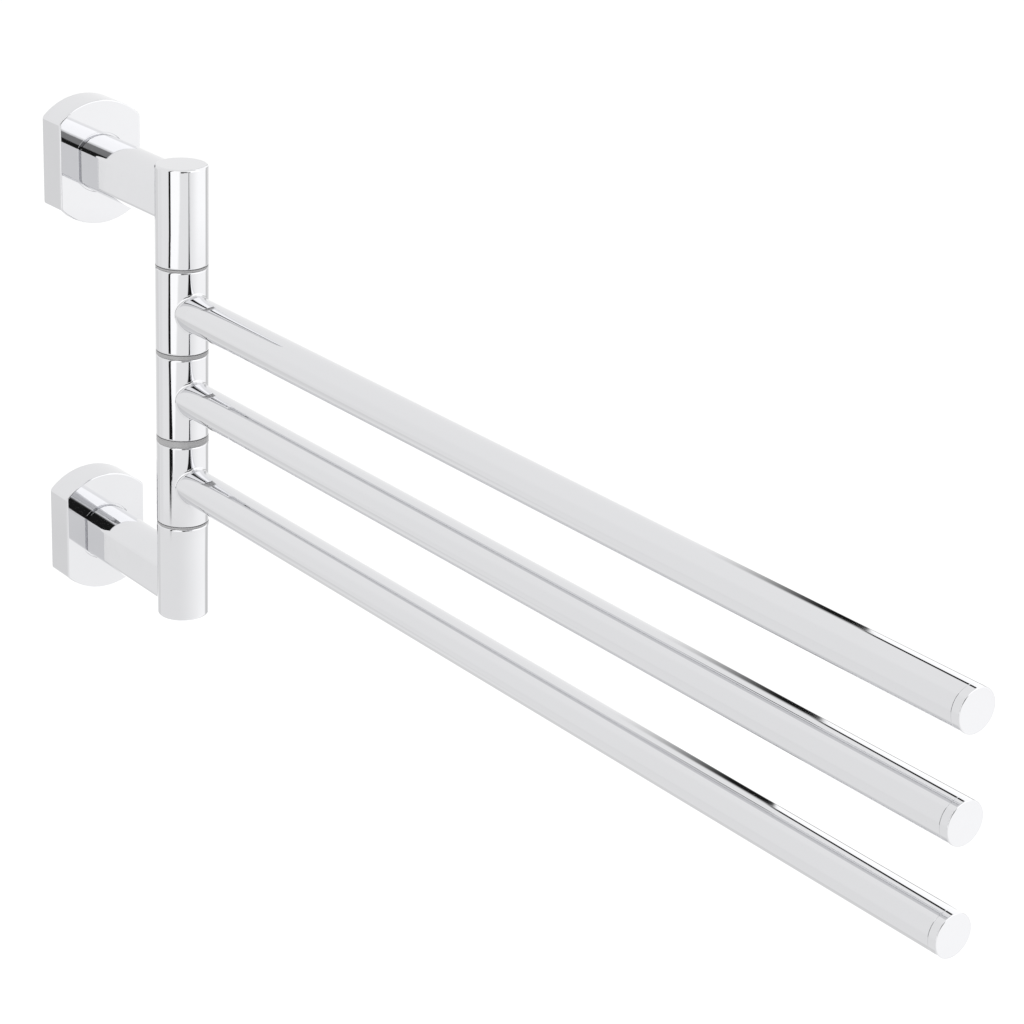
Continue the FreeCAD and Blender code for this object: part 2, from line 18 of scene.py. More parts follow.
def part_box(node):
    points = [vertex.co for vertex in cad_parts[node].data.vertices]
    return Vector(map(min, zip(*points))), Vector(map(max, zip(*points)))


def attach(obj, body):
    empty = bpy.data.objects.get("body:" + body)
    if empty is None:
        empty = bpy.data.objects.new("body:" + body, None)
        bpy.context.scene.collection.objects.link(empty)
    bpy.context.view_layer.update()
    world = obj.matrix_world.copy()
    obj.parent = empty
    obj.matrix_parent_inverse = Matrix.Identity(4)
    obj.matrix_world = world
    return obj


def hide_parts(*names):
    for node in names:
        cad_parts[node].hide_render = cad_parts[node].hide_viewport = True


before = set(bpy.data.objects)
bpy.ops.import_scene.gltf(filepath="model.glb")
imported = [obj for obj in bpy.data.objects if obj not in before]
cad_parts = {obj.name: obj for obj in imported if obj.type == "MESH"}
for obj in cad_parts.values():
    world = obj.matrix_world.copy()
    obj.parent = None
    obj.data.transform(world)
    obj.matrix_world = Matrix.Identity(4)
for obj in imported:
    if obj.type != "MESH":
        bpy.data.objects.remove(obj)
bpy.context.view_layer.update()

# %% [markdown]
# ## Sizes
#
# Every place below comes from the frame's boxes, so a skin sits exactly where its CAD piece sits. The
# few sizes that a box can't tell, such as a rounding or a wall's thickness, are given here.

# %% Read the sizes that the frame knows
MM = 0.001
CAP_RIM = 3 * MM
BARS = ("top", "middle", "bottom")


def middle(low, high):
    return (low + high) / 2


hub_low, hub_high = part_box("top_hub")
POST_X, POST_Y = middle(hub_low.x, hub_high.x), hub_high.y - hub_high.x
POST_R = hub_high.x
HUB_HALF = (hub_high.z - hub_low.z) / 2
HUB_Z = {bar: middle(*[corner.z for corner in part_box(bar + "_hub")]) for bar in BARS}
tube_low, tube_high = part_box("top_bar_tube")
BAR_R = tube_high.x
TUBE_Y = (tube_low.y, tube_high.y)
CAP_Y = tube_low.y - CAP_RIM
print("post radius", POST_R, "at y", POST_Y, "bar radius", BAR_R, "hubs at", HUB_Z)

# %% [markdown]
# ## Finishes
#
# Chrome plate is a mirror, but never a perfect one. Polishing leaves a faint orange peel, fingers
# leave thin smears that only dull the reflection a little, and drawn tube keeps soft lines along its
# length. Each finish below is a Principled shader whose roughness and bump come from noise in Object
# coordinates, so the pattern stays on the piece when the piece swings.

# %% Helpers for node trees


def new_material(name):
    material = bpy.data.materials.new(name)
    material.use_nodes = True
    tree = material.node_tree
    return material, tree, tree.nodes["Principled BSDF"]


def node(tree, kind, **settings):
    made = tree.nodes.new(kind)
    for key, value in settings.items():
        if key in made.inputs:
            made.inputs[key].default_value = value
        else:
            setattr(made, key, value)
    return made


def object_place(tree, scale=(1, 1, 1)):
    """Object coordinates through a Mapping node, so that a pattern can be stretched along a piece."""
    place = node(tree, "ShaderNodeTexCoord")
    mapping = node(tree, "ShaderNodeMapping")
    mapping.inputs["Scale"].default_value = scale
    tree.links.new(place.outputs["Object"], mapping.inputs["Vector"])
    return mapping.outputs["Vector"]


def noise(tree, vector, scale, detail=3.0, roughness=0.5):
    texture = node(tree, "ShaderNodeTexNoise", Scale=scale, Detail=detail, Roughness=roughness)
    tree.links.new(vector, texture.inputs["Vector"])
    return texture.outputs["Fac"]


def spread(tree, value, low, high, start=0.3, end=0.7):
    """Maps a noise value onto a range, because noise seldom reaches 0 or 1."""
    ramp = node(tree, "ShaderNodeMapRange")
    ramp.inputs["From Min"].default_value = start
    ramp.inputs["From Max"].default_value = end
    ramp.inputs["To Min"].default_value = low
    ramp.inputs["To Max"].default_value = high
    tree.links.new(value, ramp.inputs["Value"])
    return ramp.outputs["Result"]


def tint(tree, value, dark, light):
    mix = node(tree, "ShaderNodeMix", data_type="RGBA")
    mix.inputs["A"].default_value = (*dark, 1)
    mix.inputs["B"].default_value = (*light, 1)
    tree.links.new(value, mix.inputs["Factor"])
    return mix.outputs["Result"]


def bump(tree, shader, height, distance, strength=1.0):
    ridge = node(tree, "ShaderNodeBump", Strength=strength, Distance=distance)
    tree.links.new(height, ridge.inputs["Height"])
    tree.links.new(ridge.outputs["Normal"], shader.inputs["Normal"])


# %% [markdown]
# The castings and hubs are polished by hand before plating, so their peel has no direction. The tubes
# are drawn and polished along their length, so the same noise is squeezed along Y into long streaks.

# %% Chrome on castings, chrome on drawn tube
CHROME_DARK = (0.733, 0.735, 0.75)
CHROME_LIGHT = (0.763, 0.765, 0.78)
CLEAR, SMEARED = 0.015, 0.05
PEEL = 0.004 * MM


def chrome(name, stretch):
    material, tree, shader = new_material(name)
    vector = object_place(tree, stretch)
    shader.inputs["Metallic"].default_value = 1.0
    cloud = noise(tree, vector, 60.0)
    tree.links.new(tint(tree, cloud, CHROME_DARK, CHROME_LIGHT), shader.inputs["Base Color"])
    smears = noise(tree, vector, 140.0, detail=5.0)
    tree.links.new(spread(tree, smears, CLEAR, SMEARED), shader.inputs["Roughness"])
    bump(tree, shader, noise(tree, vector, 260.0, detail=2.0), PEEL)
    return material


cast_chrome = chrome("chrome_on_casting", (1, 1, 1))
tube_chrome = chrome("chrome_on_drawn_tube", (1, 0.06, 1))
print("made", cast_chrome.name, "and", tube_chrome.name)

# %% [markdown]
# The bushes and the friction washer are turned from grey plastic. Up close such a part has a fine dry
# grain and faint turning rings round its axis, which here is the post's axis.

# %% Turned plastic
RING_DEPTH = 0.01 * MM
DRYNESS = 0.08


def turned_plastic(name, dark, light, roughness):
    material, tree, shader = new_material(name)
    place = object_place(tree)
    centred = node(tree, "ShaderNodeMapping")
    centred.inputs["Location"].default_value = (-POST_X, -POST_Y, 0)
    tree.links.new(place, centred.inputs["Vector"])
    rings = node(
        tree, "ShaderNodeTexWave", wave_type="RINGS", rings_direction="Z", Scale=900.0, Distortion=1.5)
    tree.links.new(centred.outputs["Vector"], rings.inputs["Vector"])
    grain = noise(tree, place, 1500.0, detail=4.0)
    tree.links.new(tint(tree, grain, dark, light), shader.inputs["Base Color"])
    tree.links.new(spread(tree, grain, roughness - DRYNESS, roughness + DRYNESS), shader.inputs["Roughness"])
    shader.inputs["Specular IOR Level"].default_value = 0.8
    bump(tree, shader, rings.outputs["Fac"], RING_DEPTH)
    return material


grey_acetal = turned_plastic("grey_acetal", (0.36, 0.36, 0.365), (0.43, 0.43, 0.435), 0.3)
friction_nylon = turned_plastic("friction_nylon", (0.38, 0.38, 0.385), (0.44, 0.44, 0.445), 0.36)
plug_silver = turned_plastic("silvered_plug", (0.55, 0.56, 0.57), (0.63, 0.64, 0.65), 0.22)
plug_silver.node_tree.nodes["Principled BSDF"].inputs["Metallic"].default_value = 1.0
print("made", grey_acetal.name, friction_nylon.name, plug_silver.name)

# %% [markdown]
# Zinc plate on pressed steel is dull and shows small crystal patches. Screws and the spindle are bright
# steel with turning marks, so they stay a little darker than chrome.

# %% Zinc plate and bright steel
CRYSTAL_DEPTH, MARK_DEPTH = 0.01 * MM, 0.008 * MM
zinc_plate, tree, shader = new_material("zinc_plate")
vector = object_place(tree)
patches = node(tree, "ShaderNodeTexVoronoi", Scale=420.0)
tree.links.new(vector, patches.inputs["Vector"])
shader.inputs["Metallic"].default_value = 1.0
zinc = tint(tree, patches.outputs["Distance"], (0.42, 0.43, 0.45), (0.6, 0.6, 0.61))
tree.links.new(zinc, shader.inputs["Base Color"])
tree.links.new(spread(tree, noise(tree, vector, 300.0), 0.3, 0.5), shader.inputs["Roughness"])
bump(tree, shader, noise(tree, vector, 900.0), CRYSTAL_DEPTH)

bright_steel, tree, shader = new_material("bright_steel")
vector = object_place(tree, (1, 1, 6))
shader.inputs["Metallic"].default_value = 1.0
marks = noise(tree, vector, 500.0, detail=4.0)
tree.links.new(tint(tree, marks, (0.42, 0.42, 0.43), (0.56, 0.56, 0.57)), shader.inputs["Base Color"])
tree.links.new(spread(tree, marks, 0.18, 0.34), shader.inputs["Roughness"])
bump(tree, shader, marks, MARK_DEPTH)
print("made", zinc_plate.name, "and", bright_steel.name)

# %% [markdown]
# ## Dress the CAD pieces whose shape is already right
#
# Hardware with flat faces or a dull finish needs no skin of its own. A CAD node keeps its mesh, and
# only its material slot changes.

# %% Give the hardware its finishes
HARDWARE = {
    "upper_wall_plate": zinc_plate,
    "lower_wall_plate": zinc_plate,
    "arm_screws": bright_steel,
    "grub_screws": bright_steel,
    "spindle": bright_steel,
    "spindle_lock_washer": bright_steel,
    "spindle_nut": bright_steel,
    "post_end_plug": plug_silver,
    "friction_washer": friction_nylon,
}
for bar in BARS:
    HARDWARE[bar + "_hub_upper_bush"] = grey_acetal
    HARDWARE[bar + "_hub_lower_bush"] = grey_acetal
    HARDWARE[bar + "_bar_spigot"] = bright_steel
for name, material in HARDWARE.items():
    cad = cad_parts[name]
    cad.data.materials.clear()
    cad.data.materials.append(material)
print(len(HARDWARE), "hardware nodes dressed")

# %% [markdown]
# ## Modelling helpers
#
# A mirror shows every facet, so the plated pieces are modelled again with fine, even rings. We work as
# one does by hand: add a primitive, go into edit mode, select by place, then extrude, inset and bevel.

# %% Selecting and finishing
SAME_PLACE = 0.001 * MM
SMOOTH_BELOW = 20


def select_nothing():
    if bpy.context.object and bpy.context.object.mode == "EDIT":
        bpy.ops.object.mode_set(mode="OBJECT")
    bpy.ops.object.select_all(action="DESELECT")


def begin_edit():
    bpy.ops.object.mode_set(mode="EDIT")
    bpy.ops.mesh.select_all(action="DESELECT")


def select_faces(test):
    bpy.ops.mesh.select_mode(type="FACE")
    mesh = bmesh.from_edit_mesh(bpy.context.object.data)
    for face in mesh.faces:
        face.select = test(face.calc_center_median(), face.normal)
    mesh.select_flush_mode()
    bmesh.update_edit_mesh(bpy.context.object.data)
    return sum(face.select for face in mesh.faces)


def select_edges(test):
    """The test gets an edge's two ends."""
    bpy.ops.mesh.select_mode(type="EDGE")
    mesh = bmesh.from_edit_mesh(bpy.context.object.data)
    for edge in mesh.edges:
        edge.select = test(edge.verts[0].co, edge.verts[1].co)
    mesh.select_flush_mode()
    bmesh.update_edit_mesh(bpy.context.object.data)
    return sum(edge.select for edge in mesh.edges)


def near(value, target):
    return abs(value - target) < SAME_PLACE


def finish_piece(name):
    """Back to object mode: place into the mesh, normals outwards, smooth shading up to an angle."""
    if bpy.context.object.mode == "EDIT":
        bpy.ops.mesh.select_all(action="SELECT")
        bpy.ops.mesh.normals_make_consistent(inside=False)
        bpy.ops.object.mode_set(mode="OBJECT")
    piece = bpy.context.object
    bpy.ops.object.transform_apply(location=True, rotation=True, scale=True)
    bpy.ops.object.shade_smooth_by_angle(angle=math.radians(SMOOTH_BELOW))
    bpy.ops.object.modifier_add(type="WEIGHTED_NORMAL")
    piece.modifiers[-1].keep_sharp = True
    bpy.ops.object.modifier_apply(modifier=piece.modifiers[-1].name)
    piece.name = name
    piece.data.name = name
    return piece


def wear(piece, material, body, replaced):
    """Finish, body and CAD node of a piece, in one line per piece."""
    piece.data.materials.clear()
    piece.data.materials.append(material)
    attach(piece, body)
    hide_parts(replaced)


def copy_at(piece, name, shift):
    """A copy with its own mesh, moved inside that mesh."""
    twin = piece.copy()
    twin.data = piece.data.copy()
    twin.name = twin.data.name = name
    twin.data.transform(Matrix.Translation(shift))
    bpy.context.scene.collection.objects.link(twin)
    return twin


def copies_for_all_bars(model, kind):
    """Models a piece once, on the top bar, and copies it to the other two."""
    pieces = {"top": model("top_" + kind, HUB_Z["top"])}
    for bar in BARS[1:]:
        pieces[bar] = copy_at(pieces["top"], bar + "_" + kind, (0, 0, HUB_Z[bar] - HUB_Z["top"]))
    return pieces


print("helpers ready: edges closer than", SAME_PLACE, "m count as in one place")

# %% [markdown]
# ## The three bars
#
# Each bar is a thin tube, closed by a turned cap. The tube starts as a cylinder primitive. Insetting
# its two ends gives the wall, and bridging the holes makes the bore. A hair of bevel on the rims is
# what shows as the seam at the cap.

# %% Model one tube
TUBE_WALL = 1.2 * MM
SIDES = 128
RIM_BEVEL = 0.1 * MM
HAIR = 0.1 * MM


def model_tube(name, z):
    def from_axis(vertex):
        return Vector((vertex.x, vertex.z - z)).length

    select_nothing()
    bpy.ops.mesh.primitive_cylinder_add(
        vertices=SIDES, radius=BAR_R, depth=TUBE_Y[1] - TUBE_Y[0],
        location=(0, middle(*TUBE_Y), z), rotation=(math.pi / 2, 0, 0))
    bpy.ops.object.transform_apply(location=True, rotation=True, scale=True)
    begin_edit()
    select_faces(lambda centre, normal: abs(normal.y) > 0.9)
    bpy.ops.mesh.inset(thickness=TUBE_WALL, use_individual=True)
    bpy.ops.mesh.delete(type="FACE")
    select_edges(lambda a, b: near(a.y, b.y) and max(from_axis(a), from_axis(b)) < BAR_R - HAIR)
    bpy.ops.mesh.bridge_edge_loops()
    select_edges(lambda a, b: near(a.y, TUBE_Y[0]) and near(b.y, TUBE_Y[0])
                 and min(from_axis(a), from_axis(b)) > BAR_R - HAIR)
    bpy.ops.mesh.bevel(offset=RIM_BEVEL, segments=2)
    return finish_piece(name)


tubes = copies_for_all_bars(model_tube, "tube_skin")
for bar in BARS:
    wear(tubes[bar], tube_chrome, bar + "_bar", bar + "_bar_tube")
print("tubes:", [len(tube.data.polygons) for tube in tubes.values()], "faces")

# %% [markdown]
# A cap is a turned button: a flat face with a softened edge, a rim as wide as the tube, and a plug that
# goes inside. It's the same cylinder primitive, with the plug extruded from an inset of its back face.

# %% Model one cap
CAP_EDGE = 0.4 * MM
CAP_SEAM = 0.15 * MM
CAP_PLUG = 8 * MM
PLUG_PLAY = 0.02 * MM


def model_cap(name, z):
    select_nothing()
    bpy.ops.mesh.primitive_cylinder_add(
        vertices=SIDES, radius=BAR_R, depth=CAP_RIM,
        location=(0, CAP_Y + CAP_RIM / 2, z), rotation=(math.pi / 2, 0, 0))
    bpy.ops.object.transform_apply(location=True, rotation=True, scale=True)
    begin_edit()
    select_edges(lambda a, b: near(a.y, CAP_Y) and near(b.y, CAP_Y))
    bpy.ops.mesh.bevel(offset=CAP_EDGE, segments=6)
    select_edges(lambda a, b: near(a.y, CAP_Y + CAP_RIM) and near(b.y, CAP_Y + CAP_RIM))
    bpy.ops.mesh.bevel(offset=CAP_SEAM, segments=2)
    select_faces(lambda centre, normal: normal.y > 0.99)
    bpy.ops.mesh.inset(thickness=TUBE_WALL + PLUG_PLAY - CAP_SEAM)
    bpy.ops.mesh.extrude_region_move(TRANSFORM_OT_translate={"value": (0, CAP_PLUG, 0)})
    return finish_piece(name)


caps = copies_for_all_bars(model_cap, "cap_skin")
for bar in BARS:
    wear(caps[bar], cast_chrome, bar + "_bar", bar + "_bar_end_cap")
print("caps:", [len(cap.data.polygons) for cap in caps.values()], "faces")

# %% [markdown]
# ## The hubs
#
# A hub is a section of the post with a neck that flows into it. A boolean would leave slivers just
# where the mirror is most telling. So the neck is extruded ring by ring instead, and the last rings are
# laid on the path of a ball that rolls in the corner between neck and post. That is the fillet that
# such a casting has there.

# %% Numbered rims that can be laid anywhere
ANY_SIZE = 10 * MM


def add_rim(points):
    """A circle primitive whose numbered vertices are laid on the given points."""
    select_nothing()
    bpy.ops.mesh.primitive_circle_add(vertices=len(points), radius=ANY_SIZE, fill_type="NGON")
    mesh = bpy.context.object.data
    station = mesh.attributes.new("station", "INT", "POINT")
    for index, point in enumerate(points):
        mesh.vertices[index].co = point
        station.data[index].value = index
    bpy.ops.object.mode_set(mode="EDIT")
    bpy.ops.mesh.select_mode(type="FACE")
    bpy.ops.mesh.select_all(action="SELECT")


def extrude_rim(points):
    """Extrudes the selected face and lays its rim on new points."""
    bpy.ops.mesh.extrude_region_move(TRANSFORM_OT_translate={"value": (0, 0, 0)})
    mesh = bmesh.from_edit_mesh(bpy.context.object.data)
    layer = mesh.verts.layers.int["station"]
    for vertex in mesh.verts:
        if vertex.select:
            vertex.co = points[vertex[layer]]
    bmesh.update_edit_mesh(bpy.context.object.data)


def finish_rims(name):
    """Like finish_piece, and the numbers of the rim's vertices go."""
    piece = finish_piece(name)
    piece.data.attributes.remove(piece.data.attributes["station"])
    return piece


print("rims start as a circle of", ANY_SIZE, "m, which their points replace")

# %% [markdown]
# The ball touches the neck and the post at once. Its centre follows from the two radii and its own, and
# the fillet is the short arc between its two points of contact. A last ring, the skirt, dips just below
# the post's surface, so that no gap opens between the neck and the post.

# %% The rolling ball
NECK_END = tube_high.y
NECK_FILLET = 1.2 * MM
NECK_SIDES = 144
FILLET_STEPS = 8
SKIRT, SKIRT_SINK = 0.35 * MM, 0.003 * MM


def neck_rings(z):
    """Rings of the fillet, from the neck to the post, and the skirt's ring after them."""
    reach = BAR_R + NECK_FILLET
    ball = POST_R + NECK_FILLET
    rings = [[] for _ in range(FILLET_STEPS + 2)]
    for index in range(NECK_SIDES):
        turn = 2 * math.pi * index / NECK_SIDES
        side = Vector((math.sin(turn), 0, math.cos(turn)))
        centre = side * reach + Vector((0, POST_Y, z))
        centre.y -= math.sqrt(ball * ball - centre.x * centre.x)
        on_neck = -side
        flat = Vector((centre.x, centre.y - POST_Y, 0))
        on_post = -flat.normalized()
        for step in range(FILLET_STEPS + 1):
            rings[step].append(centre + on_neck.slerp(on_post, step / FILLET_STEPS) * NECK_FILLET)
        tail = centre + on_post * NECK_FILLET + side * SKIRT
        out = Vector((tail.x, tail.y - POST_Y, 0)).normalized() * (POST_R - SKIRT_SINK)
        rings[-1].append(Vector((out.x, out.y + POST_Y, tail.z)))
    return rings


def circle_points(radius, y, z):
    turns = [2 * math.pi * index / NECK_SIDES for index in range(NECK_SIDES)]
    return [Vector((radius * math.sin(turn), y, z + radius * math.cos(turn))) for turn in turns]


print("neck ends at", NECK_END, "m, with a fillet of", NECK_FILLET, "m")

# %% [markdown]
# The neck starts at the seat inside that takes the tube's spigot, turns round its open end, and runs on
# over the fillet into the post. The hubs and the barrels of the brackets are sections of the same post,
# so one helper adds the cylinder for all of them.

# %% Neck and post section
SPIGOT_SEAT = 5 * MM
INSIDE_POST = 8 * MM
POST_SIDES = 192


def model_neck(z):
    add_rim(circle_points(BAR_R - TUBE_WALL, NECK_END + SPIGOT_SEAT, z))
    extrude_rim(circle_points(BAR_R - TUBE_WALL, NECK_END, z))
    extrude_rim(circle_points(BAR_R, NECK_END, z))
    for ring in neck_rings(z):
        extrude_rim(ring)
    inside = Vector((0, POST_Y - INSIDE_POST, z))
    extrude_rim([point.lerp(inside, 0.5) for point in neck_rings(z)[-1]])
    return finish_rims("neck")


def from_post(vertex):
    return Vector((vertex.x - POST_X, vertex.y - POST_Y)).length


def add_post_section(low, high):
    """A cylinder on the post's axis, left in edit mode."""
    select_nothing()
    bpy.ops.mesh.primitive_cylinder_add(
        vertices=POST_SIDES, radius=POST_R, depth=high - low, location=(POST_X, POST_Y, middle(low, high)))
    bpy.ops.object.transform_apply(location=True, rotation=True, scale=True)
    begin_edit()


def join_into(casting, other):
    other.select_set(True)
    casting.select_set(True)
    bpy.context.view_layer.objects.active = casting
    bpy.ops.object.join()
    return casting


print("post sections have", POST_SIDES, "sides")

# %% [markdown]
# A hub is open from end to end for its bushes: both end faces are inset and deleted, and a bridge makes
# the bore. Its outer rims get a small round, which catches a thin bright line at every joint of the post.

# %% Model one hub
HUB_EDGE = 0.8 * MM
HUB_BORE = 6 * MM
RIM_WIDTH = 1 * MM
BEVEL_STEPS = 6


def model_hub(name, z):
    neck = model_neck(z)
    add_post_section(z - HUB_HALF, z + HUB_HALF)
    select_faces(lambda centre, normal: abs(normal.z) > 0.9)
    bpy.ops.mesh.inset(thickness=POST_R - HUB_BORE, use_individual=True)
    bpy.ops.mesh.delete(type="FACE")
    select_edges(lambda a, b: near(a.z, b.z) and max(from_post(a), from_post(b)) < POST_R - RIM_WIDTH)
    bpy.ops.mesh.bridge_edge_loops()
    select_edges(lambda a, b: near(a.z, b.z) and min(from_post(a), from_post(b)) > POST_R - RIM_WIDTH)
    bpy.ops.mesh.bevel(offset=HUB_EDGE, segments=BEVEL_STEPS)
    return join_into(finish_piece(name), neck)


hubs = copies_for_all_bars(model_hub, "hub_skin")
for bar in BARS:
    wear(hubs[bar], cast_chrome, bar + "_bar", bar + "_hub")
print("hubs:", [len(hub.data.polygons) for hub in hubs.values()], "faces")

# %% [markdown]
# ## Wall flanges and bracket arms
#
# Both are discs or bars with two upright flats, so one outline serves for all of them: a circle, two
# flats, and a small round where they meet. Every outline has the same number of points, which lets a
# rim be extruded from one outline into the next.

# %% The flatted outline
ARC_POINTS, ROUND_POINTS, FLAT_POINTS = 72, 10, 8


def flatted(radius, half_width, corner, y, z):
    """Points of a circle with two upright flats and rounded corners, on the plane at y.

    They are worked out for the upper right quarter and mirrored to the other three.
    """
    rise = math.sqrt((radius - corner) ** 2 - (half_width - corner) ** 2)
    turn = math.atan2(rise, half_width - corner)
    quarter = []
    for step in range(FLAT_POINTS // 2):
        quarter.append((half_width, rise * step / (FLAT_POINTS // 2)))
    for step in range(ROUND_POINTS):
        angle = turn * step / ROUND_POINTS
        quarter.append((half_width - corner + corner * math.cos(angle), rise + corner * math.sin(angle)))
    for step in range(ARC_POINTS // 2):
        angle = turn + (math.pi / 2 - turn) * step / (ARC_POINTS // 2)
        quarter.append((radius * math.cos(angle), radius * math.sin(angle)))
    half = quarter + [(0, radius)] + [(-x, h) for x, h in reversed(quarter[1:])]
    lower = [(-x, -h) for x, h in half]
    return [Vector((x, y, z + h)) for x, h in half + lower]


print("an outline has", len(flatted(20 * MM, 15 * MM, 2 * MM, 0, 0)), "points")

# %% [markdown]
# The flange is a cup that hides the wall plate. Its front edge is softened all round, and its face has
# a shallow seat that the arm stands in, with a fine gap that shows as the line round the arm.

# %% Model one flange
FLANGE_R = 24.3 * MM
FLANGE_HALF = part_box("upper_flange_cover")[1].x
FLANGE_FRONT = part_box("upper_flange_cover")[0].y
FLANGE_CORNER, FLANGE_EDGE, FLANGE_WALL, FLANGE_FACE = 2 * MM, 0.6 * MM, 2.6 * MM, 3.5 * MM
FLANGE_Z = middle(*[corner.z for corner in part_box("upper_flange_cover")])
ARM_R, ARM_HALF, ARM_CORNER = 11.1 * MM, 9.1 * MM, 1.8 * MM
SEAT_GAP, SEAT_DEPTH, SEAT_EDGE, SEAT_ROUND = 0.6 * MM, 1 * MM, 0.15 * MM, 0.3
LEAST_CORNER = 0.3 * MM
EDGE_STEPS = 6


def model_flange(name, z):
    def outline(inset, y):
        corner = max(FLANGE_CORNER - inset, LEAST_CORNER)
        return flatted(FLANGE_R - inset, FLANGE_HALF - inset, corner, y, z)

    def seat(gap, y):
        return flatted(ARM_R + gap, ARM_HALF + gap, ARM_CORNER + gap, y, z)

    add_rim(outline(FLANGE_WALL, FLANGE_FRONT + FLANGE_FACE))
    extrude_rim(outline(FLANGE_WALL, 0))
    extrude_rim(outline(0, 0))
    for step in range(EDGE_STEPS + 1):
        angle = math.pi / 2 * step / EDGE_STEPS
        sunk, fall = FLANGE_EDGE * (1 - math.cos(angle)), FLANGE_EDGE * (1 - math.sin(angle))
        extrude_rim(outline(sunk, FLANGE_FRONT + fall))
    extrude_rim(seat(SEAT_GAP + SEAT_EDGE, FLANGE_FRONT))
    extrude_rim(seat(SEAT_GAP + SEAT_EDGE * SEAT_ROUND, FLANGE_FRONT + SEAT_EDGE * SEAT_ROUND))
    extrude_rim(seat(SEAT_GAP, FLANGE_FRONT + SEAT_EDGE))
    extrude_rim(seat(SEAT_GAP, FLANGE_FRONT + SEAT_DEPTH))
    return finish_rims(name)


upper_flange = model_flange("upper_flange_skin", FLANGE_Z)
lower_flange = copy_at(upper_flange, "lower_flange_skin", (0, 0, -2 * FLANGE_Z))
wear(upper_flange, cast_chrome, "wall_frame", "upper_flange_cover")
wear(lower_flange, cast_chrome, "wall_frame", "lower_flange_cover")
print("flanges:", len(upper_flange.data.polygons), "faces each")

# %% [markdown]
# The bracket arm is a casting of two forms that cross: the flatted arm and the round barrel. The arm
# runs on into the barrel, and the barrel's ends get their softened edges with a bevel.

# %% Model a bracket arm
# Both barrels have a hole for the spindle, and the lower one a recess for its nut and the end plug.
BARREL = {side: [corner.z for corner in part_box(side + "_bracket_arm")] for side in ("upper", "lower")}
ARM_END = FLANGE_FRONT + SEAT_DEPTH
POST_EDGE = 1.1 * MM
RECESS_R, RECESS_DEPTH = 7 * MM, 18 * MM
SPINDLE_R, SPINDLE_SEAT = 4.02 * MM, 5 * MM


def model_bracket(name, z, barrel):
    add_rim(flatted(ARM_R, ARM_HALF, ARM_CORNER, ARM_END, z))
    extrude_rim(flatted(ARM_R, ARM_HALF, ARM_CORNER, POST_Y, z))
    arm = finish_rims("arm")
    low, high = barrel
    inner_end, outer_end = (low, high) if z > 0 else (high, low)
    add_post_section(low, high)
    for end, size in ((outer_end, POST_EDGE), (inner_end, HUB_EDGE)):
        select_edges(lambda a, b: near(a.z, end) and near(b.z, end))
        bpy.ops.mesh.bevel(offset=size, segments=BEVEL_STEPS)
    away = 1 if z > 0 else -1
    select_faces(lambda centre, normal: normal.z * away < -0.99)
    bpy.ops.mesh.inset(thickness=POST_R - HUB_EDGE - SPINDLE_R)
    bpy.ops.mesh.extrude_region_move(TRANSFORM_OT_translate={"value": (0, 0, away * SPINDLE_SEAT)})
    if z < 0:
        select_faces(lambda centre, normal: normal.z * away > 0.99 and near(centre.z, outer_end))
        bpy.ops.mesh.inset(thickness=POST_R - POST_EDGE - RECESS_R)
        bpy.ops.mesh.extrude_region_move(TRANSFORM_OT_translate={"value": (0, 0, -away * RECESS_DEPTH)})
    return join_into(finish_piece(name), arm)


for side, z in (("upper", FLANGE_Z), ("lower", -FLANGE_Z)):
    bracket = model_bracket(side + "_bracket_skin", z, BARREL[side])
    wear(bracket, cast_chrome, "wall_frame", side + "_bracket_arm")
    print(bracket.name, len(bracket.data.polygons), "faces")

# %% [markdown]
# ## The studio
#
# Chrome has no look of its own: it shows the room. A catalogue studio is a white tent with soft boxes,
# and the thin black lines on chrome are the gaps between its panels. The tent is far larger than the
# rack, so we paint it on the world, by direction. Only mirror rays see the panels. The camera sees
# plain white, and matt surfaces get an even light.

# %% Directions in the world's nodes
world = bpy.data.worlds.new("studio_tent")
bpy.context.scene.world = world
world.use_nodes = True
tent = world.node_tree
background = tent.nodes["Background"]


def calculate(operation, first, second=None):
    made = node(tent, "ShaderNodeMath", operation=operation)
    for socket, value in zip(made.inputs, (first, second)):
        if isinstance(value, (int, float)):
            socket.default_value = value
        elif value is not None:
            tent.links.new(value, socket)
    return made.outputs["Value"]


def degrees(value):
    return calculate("MULTIPLY", value, 180 / math.pi)


def edge(value, start, end):
    """Rises softly from 0 at start to 1 at end. With start above end, it falls."""
    ramp = node(tent, "ShaderNodeMapRange", interpolation_type="SMOOTHSTEP")
    rising = start < end
    ramp.inputs["From Min"].default_value = min(start, end)
    ramp.inputs["From Max"].default_value = max(start, end)
    ramp.inputs["To Min"].default_value = 0 if rising else 1
    ramp.inputs["To Max"].default_value = 1 if rising else 0
    tent.links.new(value, ramp.inputs["Value"])
    return ramp.outputs["Result"]


def band(value, low, high, soft):
    return calculate("MULTIPLY", edge(value, low - soft, low + soft), edge(value, high + soft, high - soft))


def paint(level, mask, new_level):
    """Changes the tent's level to a new one where the mask is 1."""
    change = calculate("MULTIPLY", mask, calculate("SUBTRACT", new_level, level))
    return calculate("ADD", level, change)


